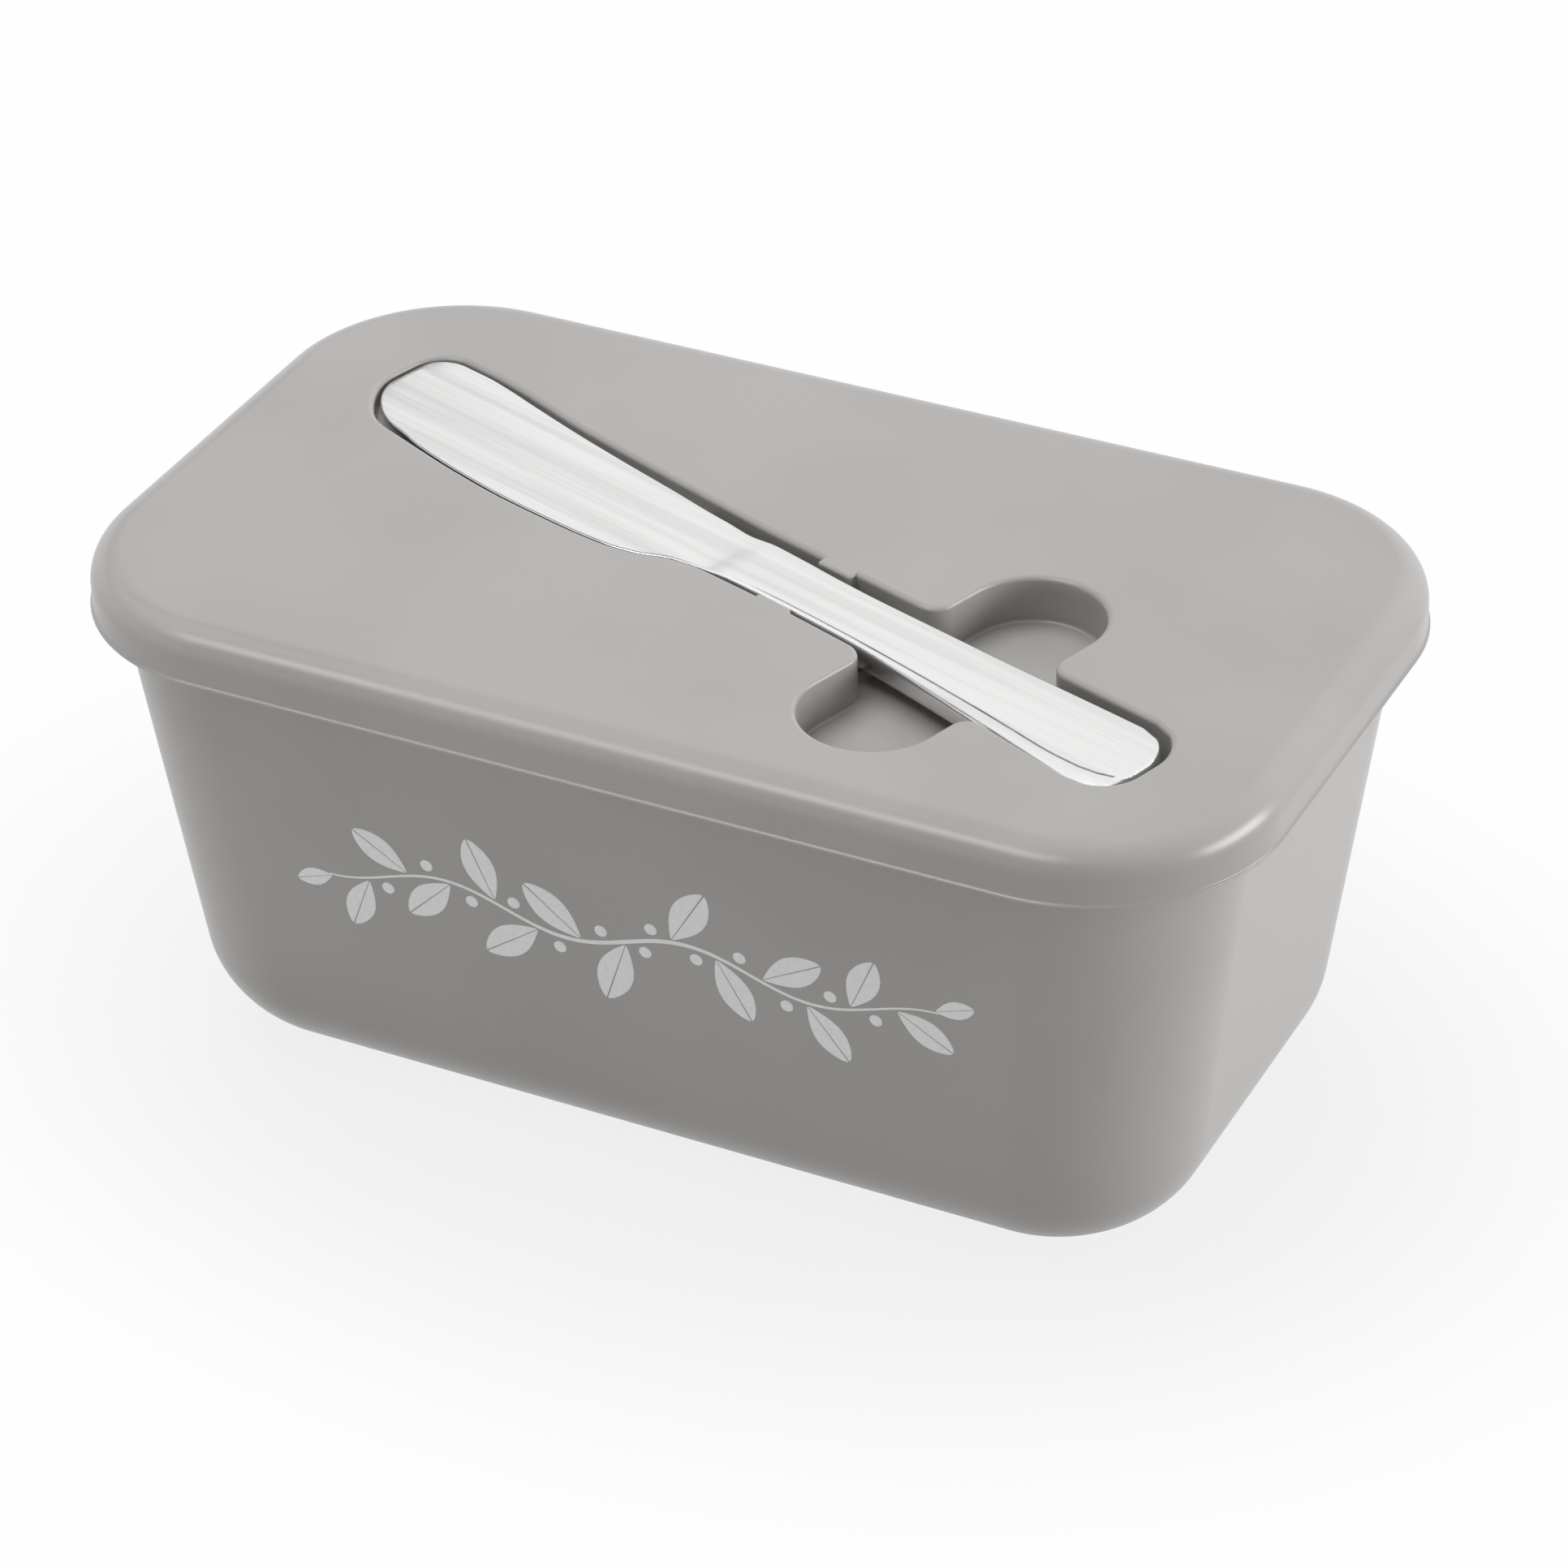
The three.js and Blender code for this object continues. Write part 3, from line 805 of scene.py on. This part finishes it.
def round_floors(shape, floors, rounds):
    for floor, radius in zip(floors, rounds):
        feet = [
            edge for face in shape.faces if lies_at(face, floor) for edge in face.edges
            if any(
                wall.calc_center_median().z > (floor + WALL_FROM) * MM
                for wall in edge.link_faces
            )
        ]
        round_off(shape, feet, radius, FLOOR_STEPS, affect="EDGES")


print("floors at", *FLOORS, "mm")

# %% [markdown]
# From its outline the hollow goes down in small steps: first the rounded rim, a
# little narrower with each step, then the upright wall, and last the floors. The
# same steps on a larger outline give the tray that hangs under the lid's plate
# round the hollow. Both start a little above the face that they cut or join,
# because a boolean is unsure of faces that lie in one plane.

# %% Hollow and tray
BED_RIM = 0.8
TRAY_WALL = 1.8
OVERSHOOT = 1


def make_hollow(name, grow, top, rim, floors, rounds):
    shape = bmesh.new()
    outline = hollow_outline(shape, grow + rim, top + OVERSHOOT)
    lowered = bmesh.ops.extrude_face_region(shape, geom=[outline])
    cap = next(part for part in lowered["geom"] if isinstance(part, bmesh.types.BMFace))
    bmesh.ops.translate(shape, vec=(0, 0, -OVERSHOOT * MM), verts=cap.verts)
    arc = quarter(rim, ROUND_STEPS) if rim else [(0, 0)]
    for (before, high), (after, low) in zip(arc, arc[1:]):
        step_down(shape, cap, after - before, low - high)
    step_down(shape, cap, 0, top - rim - floors[0])
    sink_floors(shape, cap, floors)
    round_floors(shape, floors, rounds)
    rotate(shape, KNIFE_TURN)
    bmesh.ops.remove_doubles(shape, verts=shape.verts, dist=WELD * MM)
    return finished(name, shape)


hollow = make_hollow(
    "hollow", grow=0, top=LID_TOP, rim=BED_RIM, floors=FLOORS, rounds=(0.5, 0.6, 0.5),
)
tray = make_hollow(
    "tray", grow=TRAY_WALL, top=LID_UNDER + OVERSHOOT, rim=0,
    floors=[floor - TRAY_WALL for floor in FLOORS], rounds=(0.6, 0.5, 0.5),
)
print("hollow", len(hollow.data.polygons), "faces, tray", len(tray.data.polygons), "faces")

# %% [markdown]
# Two small tabs stand in the bed, one on each side of the knife, and hold it by
# the start of its handle. They stay standing if they are taken out of the hollow
# before the hollow is taken out of the lid. The tray is joined on first, so that
# the hollow leaves an even wall all round.

# %% Clip tabs and the finished lid
TAB_ALONG = 79.7
TAB_LENGTH = 5.9
TAB_REACH = 6
TAB_FOOT = 60
TAB_ROUND = 0.5
TAB_GAP = 0.3


def clip_tab(side):
    held = [knife_sides(TAB_ALONG + step * TAB_LENGTH / 8) for step in range(-4, 5)]
    widest = max(back for back, edge in held) if side > 0 else -min(edge for back, edge in held)
    top = quarter(TAB_ROUND, ROUND_STEPS)
    levels = [(0, TAB_FOOT), (0, LID_TOP - TAB_ROUND)]
    levels += [(TAB_ROUND - across, LID_TOP - down) for across, down in reversed(top[:-1])]
    levels += [(TAB_ROUND, LID_TOP + 2 * OVERSHOOT)]
    shape = bmesh.new()
    bridge_levels(shape, [
        level(shape, TAB_LENGTH - 2 * inset, TAB_REACH - 2 * inset, TAB_ROUND, height)
        for inset, height in levels
    ])
    middle = widest + TAB_GAP + TAB_REACH / 2
    place = Vector((KNIFE_TIP + TAB_ALONG, side * middle, 0)) * MM
    bmesh.ops.translate(shape, vec=place, verts=shape.verts)
    rotate(shape, KNIFE_TURN)
    return finished("clip_tab", shape)


combine(lid, tray, "UNION")
for side in (1, -1):
    combine(hollow, clip_tab(side), "DIFFERENCE")
combine(lid, hollow, "DIFFERENCE")
smooth(lid, SMOOTH_BELOW)
flat_faces_win(lid)
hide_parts("lid")
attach(lid, "lid")
print("lid", len(lid.data.polygons), "faces")

# %% [markdown]
# The knife is forged from one bar: a thin flat blade, a thicker handle, and a soft
# crease where they meet. Along the front of the handle a narrow facet is ground
# under a ridge line that catches the light. Such a shape is a row of sections. A
# section has eight corners, from the middle of the top over the back, the
# underside and the edge to the facet, each with its place across, its height and
# its rounding. One set of corners is for the blade and one for the handle.

# %% Sections of the knife
BLADE_TOP, BLADE_CENTRE, BLADE_UNDER = 73.6, 72.6, 71.6
HANDLE_TOP, HANDLE_CENTRE, HANDLE_UNDER = 73.8, 71.3, 68.8


def blade_section(back, edge, facet):
    middle = (back + edge) / 2
    return (
        (middle, BLADE_TOP, 2), (back, BLADE_TOP, 0.25),
        (back, BLADE_UNDER, 0.25), (middle, 71.7, 1),
        (edge + 0.4, 73.0, 0.1), (edge, 73.2, 0.08),
        (edge + 0.05, 73.4, 0.08), (edge + facet, 73.5, 0.12),
    )


def handle_section(back, edge, facet):
    middle = (back + edge) / 2
    return (
        (middle, HANDLE_TOP, 2), (back, 73.7, 0.75),
        (back, HANDLE_UNDER, 1.5), (middle, HANDLE_UNDER, 1),
        (edge + 0.6, HANDLE_UNDER, 1.4), (edge - 0.3 * facet, 73.7 - 1.25 * facet, 0.35),
        (edge + 0.08, 73.72 - 0.64 * facet, 0.32), (edge + facet, 73.75, 0.3),
    )


print("blade", round(BLADE_TOP - BLADE_UNDER, 1), "mm thick, handle",
      round(HANDLE_TOP - HANDLE_UNDER, 1), "mm")

# %% [markdown]
# Three tables say how the knife changes along its length: how far it has turned
# from blade into handle, how wide the facet is, and how deep the crease dips. At
# each station a disc with eight points is set out as the blended section, and
# every corner gets its own rounding with a vertex bevel. Towards both ends the
# sections thin out, so that the tip and the butt are soft to the hand.

# %% Knife
HANDLE_SHARE = ((0, 0), (57, 0), (64, 0.35), (70, 0.85), (76, 1), (139.85, 1))
FACET = (
    (0, 0.3), (70, 0.3), (79, 0.5), (89, 0.52), (99, 0.62), (109, 0.92), (119, 1.16), (129, 1.42),
    (134, 1.9), (137, 2.0), (139.85, 0.8),
)
CREASE = ((0, 0), (60.5, 0), (65.7, 0.27), (70.3, 0), (139.85, 0))
SECTION_STEPS = 5
TIP_THINNING, BUTT_THINNING = 0.5, 1.2
THINNEST = 0.5
KNIFE_SMOOTH_BELOW = 50


def knife_corners(along):
    back, edge = knife_sides(along)
    facet = min(smooth_value(FACET, along), (back - edge) / 4)
    share = smooth_value(HANDLE_SHARE, along)
    dip = smooth_value(CREASE, along)
    centre = BLADE_CENTRE + (HANDLE_CENTRE - BLADE_CENTRE) * share
    full = min(round_end(along, TIP_THINNING), round_end(KNIFE_LENGTH - along, BUTT_THINNING))
    thin = 1 - (1 - full) * THINNEST
    corners = zip(blade_section(back, edge, facet), handle_section(back, edge, facet))
    for blade, handle in corners:
        across, height, radius = (a + (b - a) * share for a, b in zip(blade, handle))
        yield across, centre + (height - centre) * thin - dip * (height > centre), radius * thin


def make_knife():
    shape = bmesh.new()
    rings = []
    for along in stations():
        before = set(shape.faces)
        corners = list(knife_corners(along))
        points = disc(shape, len(corners))
        for point, (across, height, radius) in zip(points, corners):
            point.co = Vector((KNIFE_TIP + along, across, height)) * MM
        for point, (across, height, radius) in zip(points, corners):
            round_off(shape, [point], radius, SECTION_STEPS)
        rings.append(next(face for face in shape.faces if face not in before))
    bridge_levels(shape, rings)
    rotate(shape, KNIFE_TURN)
    return finished("knife", shape, KNIFE_SMOOTH_BELOW)


knife = make_knife()
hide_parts("butter_knife")
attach(knife, "knife")
print("knife", len(knife.data.polygons), "faces")

# %% [markdown]
# The seal is a soft ring pushed into the groove of the plug. It can't be seen with
# the lid on, but it shows when the lid is lifted. A thin lip leans out and up from
# its foot, so that it bends against the tub's wall. It is one more list of levels,
# bridged all the way round its section and back to the first level.

# %% Seal ring
SEAL = (
    (9.0, 65.5), (8.85, 65.3), (8.3, 65.28), (8.0, 65.5), (7.4, 66.2), (6.95, 66.8),
    (6.82, 67.1), (6.8, 67.4), (6.9, 67.65), (7.05, 67.6), (7.3, 67.2), (7.7, 66.85),
    (8.05, 66.8), (8.3, 67.1), (8.35, 67.6), (8.5, 67.7), (8.85, 67.68), (9.0, 67.5),
)
SEAL_SMOOTH_BELOW = 60


def make_seal():
    shape = bmesh.new()
    bridge_levels(shape, [lid_level(shape, inset, height) for inset, height in SEAL], closed=True)
    return finished("seal", shape, SEAL_SMOOTH_BELOW)


seal = make_seal()
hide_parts("seal_ring")
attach(seal, "lid")
print("seal", len(seal.data.polygons), "faces")

# %% [markdown]
# The front of the tub carries a garland of leaves in white ink. It could be drawn
# by a material, but its edge would then be only as sharp as the pattern. Ink has
# hardly any thickness, and flat shapes laid a hair in front of the wall keep a
# sharp edge from any distance. One half leaf is cut from a disc, drawn out to a
# point and mirrored, with a gap between the halves for its vein.

# %% Stem, leaf and berry
PRINT_LENGTH = 88
STEM_WIDTH = 0.7
STEM_PARTS = 160
STEM_THINNING = 0.6
WAVE_HEIGHT = 2.1
WAVES = 2.5
LEAF = (9.5, 4.6)
LEAF_POINTS = 40
LEAF_TAPER, LEAF_BELLY = 0.45, 0.35
STALK = 0.7
VEIN = 0.03
BERRY = 0.9
BERRY_POINTS = 24


def wave(along):
    return WAVE_HEIGHT * math.sin(2 * math.pi * WAVES * along / PRINT_LENGTH)


def add_stem(shape):
    for point in plate(shape, PRINT_LENGTH, STEM_WIDTH, STEM_PARTS):
        thin = 1 - STEM_THINNING * abs(point.co.x) / (PRINT_LENGTH / 2)
        point.co.y = point.co.y * thin + wave(point.co.x)


def add_leaf(shape, along, turn, size):
    length, width = (side * size for side in LEAF)
    for side in (1, -1):
        face = disc(shape, LEAF_POINTS, HALF)[0].link_faces[0]
        half = bmesh.ops.bisect_plane(
            shape, geom=[*face.verts, *face.edges, face], plane_co=(0, VEIN, 0),
            plane_no=(0, 1, 0), clear_inner=True,
        )
        kept = list(set(points_in(half["geom"] + half["geom_cut"])))
        for point in kept:
            point.co.y *= 1 - LEAF_TAPER * (2 * point.co.x) ** 2 + LEAF_BELLY * point.co.x
        bmesh.ops.scale(shape, vec=(length, side * width, 1), verts=kept)
        bmesh.ops.translate(shape, vec=(length / 2 + STALK, 0, 0), verts=kept)
        rotate(shape, turn, kept)
        bmesh.ops.translate(shape, vec=(along, wave(along), 0), verts=kept)


def add_berry(shape, along, side):
    berry = disc(shape, BERRY_POINTS, BERRY)
    bmesh.ops.translate(shape, vec=(along, wave(along) + side, 0), verts=berry)


print("leaf", LEAF[0], "by", LEAF[1], "mm")

# %% [markdown]
# The leaves stand by turns above and below a waving stem, each with a berry beside
# its joint. They lean away from the middle of the garland, and those nearest to it
# are the largest. The flat garland is given its thickness, stood up, tilted as the
# wall is, and laid on it.

# %% Leaf garland
PRINT_MIDDLE = (1.8, 39.3)
PRINT_THICK = 0.03
PRINT_GAP = 0.01
PRINT_SMOOTH_BELOW = 30
LEAF_PLACES = 13
LEAF_SPAN = 0.93
LEAF_LEAN = math.radians(50)
LEAF_SIZE, LEAF_LOSS = 1.1, 0.2
BERRY_BACK, BERRY_SIDE = 2.6, 1.9
END_LEAF = 0.6
END_LEAN = 20


def add_leaves(shape):
    for step in range(LEAF_PLACES):
        part = (step + HALF) / LEAF_PLACES
        along = (part - HALF) * PRINT_LENGTH * LEAF_SPAN
        side = 1 if step % 2 else -1
        slope = math.atan2(wave(along + HALF) - wave(along - HALF), 1)
        lean = side * LEAF_LEAN
        turn = slope + lean if part > HALF else math.pi + slope - lean
        add_leaf(shape, along, turn, LEAF_SIZE - LEAF_LOSS * abs(2 * part - 1))
        back = -BERRY_BACK if part > HALF else BERRY_BACK
        add_berry(shape, along + back, side * BERRY_SIDE)
    end = PRINT_LENGTH / 2 - 1
    add_leaf(shape, end, math.radians(END_LEAN), END_LEAF)
    add_leaf(shape, -end, math.radians(END_LEAN + 180), END_LEAF)


def make_garland():
    shape = bmesh.new()
    add_stem(shape)
    add_leaves(shape)
    bmesh.ops.recalc_face_normals(shape, faces=shape.faces)
    raise_faces(shape, PRINT_THICK)
    bmesh.ops.scale(shape, vec=(MM, MM, MM), verts=shape.verts)
    along, height = PRINT_MIDDLE
    widening = MOUTH[1] - FOOT[1]
    rotate(shape, math.pi / 2 + math.atan2(widening / 2, LID_BOTTOM), axis="X")
    wall = -(FOOT[1] + widening * height / LID_BOTTOM) / 2
    place = Vector((along, wall - PRINT_GAP, height)) * MM
    bmesh.ops.translate(shape, vec=place, verts=shape.verts)
    return finished("leaf_garland", shape, PRINT_SMOOTH_BELOW)


garland = make_garland()
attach(garland, "box")
print("garland", len(garland.data.polygons), "faces")

# %% [markdown]
# No real surface has one flat colour, so each finish here starts from a noise. It
# moves the colour between two tones and the roughness between two values, and a
# noise pressed in as a bump breaks up the gloss. A noise hardly ever reaches 0
# or 1, so its middle part is spread over the whole range. An image texture could
# do the same, but it would be sharp at one distance only.

# %% Helpers for the finishes
NOISE_SPAN = (0.35, 0.65)


def noise(nodes, links, scale, detail, stretch=1, turn=0):
    pattern = nodes.new("ShaderNodeTexNoise")
    pattern.inputs["Scale"].default_value = scale
    pattern.inputs["Detail"].default_value = detail
    place = nodes.new("ShaderNodeTexCoord").outputs["Object"]
    if stretch != 1:
        mapping = nodes.new("ShaderNodeMapping")
        mapping.vector_type = "TEXTURE"
        mapping.inputs["Scale"].default_value = (stretch, 1, 1)
        mapping.inputs["Rotation"].default_value = (0, 0, turn)
        links.new(place, mapping.inputs["Vector"])
        place = mapping.outputs[0]
    links.new(place, pattern.inputs["Vector"])
    return pattern.outputs["Fac"]


def tones(nodes, links, value, dark, light):
    ramp = nodes.new("ShaderNodeValToRGB")
    ramp.color_ramp.interpolation = "EASE"
    for stop, place, colour in zip(ramp.color_ramp.elements, NOISE_SPAN, (dark, light)):
        stop.position = place
        stop.color = (*colour, 1)
    links.new(value, ramp.inputs[0])
    return ramp.outputs[0]


def bump(nodes, links, value, strength, depth):
    relief = nodes.new("ShaderNodeBump")
    relief.inputs["Strength"].default_value = strength
    relief.inputs["Distance"].default_value = depth * MM
    links.new(value, relief.inputs["Height"])
    return relief.outputs[0]


def start_material(name):
    material = bpy.data.materials.new(name)
    nodes, links = nodes_of(material)
    shader = nodes.new("ShaderNodeBsdfPrincipled")
    show(nodes, links, shader.outputs[0])
    return material, nodes, links, shader


def dress(links, shader, colour, roughness, relief):
    links.new(colour, shader.inputs["Base Color"])
    links.new(roughness, shader.inputs["Roughness"])
    links.new(relief, shader.inputs["Normal"])


print("noise is spread from", *NOISE_SPAN)

# %% [markdown]
# Box and lid are moulded from one grey plastic with a satin finish. Up close such
# plastic is never one flat colour: it clouds a little where it flowed into the
# mould, and the mould's fine grain breaks up its gloss. So one slow noise moves the
# colour and the roughness by a little, and one fine noise drives a low bump. The
# roughness stays above 0.28 everywhere. Below about 0.27 the renderer's denoiser
# takes a surface for a mirror, and a roughness that crossed that value would draw
# outlines that look like stains.

# %% Satin plastic
PLASTIC_GREY = (0.400, 0.388, 0.380)
PLASTIC_TONES = (0.97, 1.03)
PLASTIC_ROUGHNESS = (0.28, 0.33)


def satin_plastic(name):
    material, nodes, links, shader = start_material(name)
    clouds = noise(nodes, links, scale=28, detail=3)
    dark, light = ([part * tone for part in PLASTIC_GREY] for tone in PLASTIC_TONES)
    colour = tones(nodes, links, clouds, dark, light)
    roughness = spread(nodes, links, clouds, NOISE_SPAN, PLASTIC_ROUGHNESS)
    grain = noise(nodes, links, scale=2600, detail=2)
    dress(links, shader, colour, roughness, bump(nodes, links, grain, strength=0.12, depth=0.02))
    return material


for piece, name in ((tub, "tub_plastic"), (lid, "lid_plastic")):
    piece.data.materials.clear()
    piece.data.materials.append(satin_plastic(name))
print("plastic grey", PLASTIC_GREY)

# %% [markdown]
# The knife is brushed along its length and then polished a little, so it mirrors
# the room softly and shows faint long streaks. The streaks are a noise stretched
# along the blade. They move the brightness and the roughness, and press very
# shallow grooves into the surface. The Mapping node is of the Texture kind, which
# turns the pattern to the knife before it stretches it.

# %% Brushed steel
STEEL_DARK, STEEL_LIGHT = (0.76, 0.755, 0.75), (0.86, 0.855, 0.85)
STEEL_ROUGHNESS = (0.17, 0.27)


def brushed_steel():
    material, nodes, links, shader = start_material("knife_steel")
    shader.inputs["Metallic"].default_value = 1
    broad = noise(nodes, links, scale=420, detail=3, stretch=40, turn=KNIFE_TURN)
    fine = noise(nodes, links, scale=2600, detail=2, stretch=60, turn=KNIFE_TURN)
    colour = tones(nodes, links, broad, STEEL_DARK, STEEL_LIGHT)
    roughness = spread(nodes, links, fine, NOISE_SPAN, STEEL_ROUGHNESS)
    dress(links, shader, colour, roughness, bump(nodes, links, fine, strength=0.15, depth=0.004))
    return material


knife.data.materials.append(brushed_steel())
print("steel between", STEEL_DARK[0], "and", STEEL_LIGHT[0])

# %% [markdown]
# The seal is white silicone, matt and slightly uneven, as rubber is when it comes
# out of its mould. The garland is opaque white ink that lies a little unevenly on
# the plastic, so its colour and its gloss carry a fine speckle. Both are the same
# kind of finish with other numbers, so one function makes them.

# %% Silicone and white ink
WHITE_BUMP = 0.2


def soft_white(name, dark, light, roughness, scale, depth):
    material, nodes, links, shader = start_material(name)
    speckle = noise(nodes, links, scale, detail=3)
    colour = tones(nodes, links, speckle, dark, light)
    matt = spread(nodes, links, speckle, NOISE_SPAN, roughness)
    dress(links, shader, colour, matt, bump(nodes, links, speckle, WHITE_BUMP, depth))
    return material


seal.data.materials.append(soft_white(
    "seal_silicone", dark=(0.78, 0.77, 0.745), light=(0.83, 0.82, 0.80),
    roughness=(0.5, 0.6), scale=700, depth=0.02,
))
garland.data.materials.append(soft_white(
    "white_ink", dark=(0.90, 0.90, 0.895), light=(0.95, 0.95, 0.945),
    roughness=(0.42, 0.52), scale=1500, depth=0.004,
))
print("silicone and ink with bump", WHITE_BUMP)
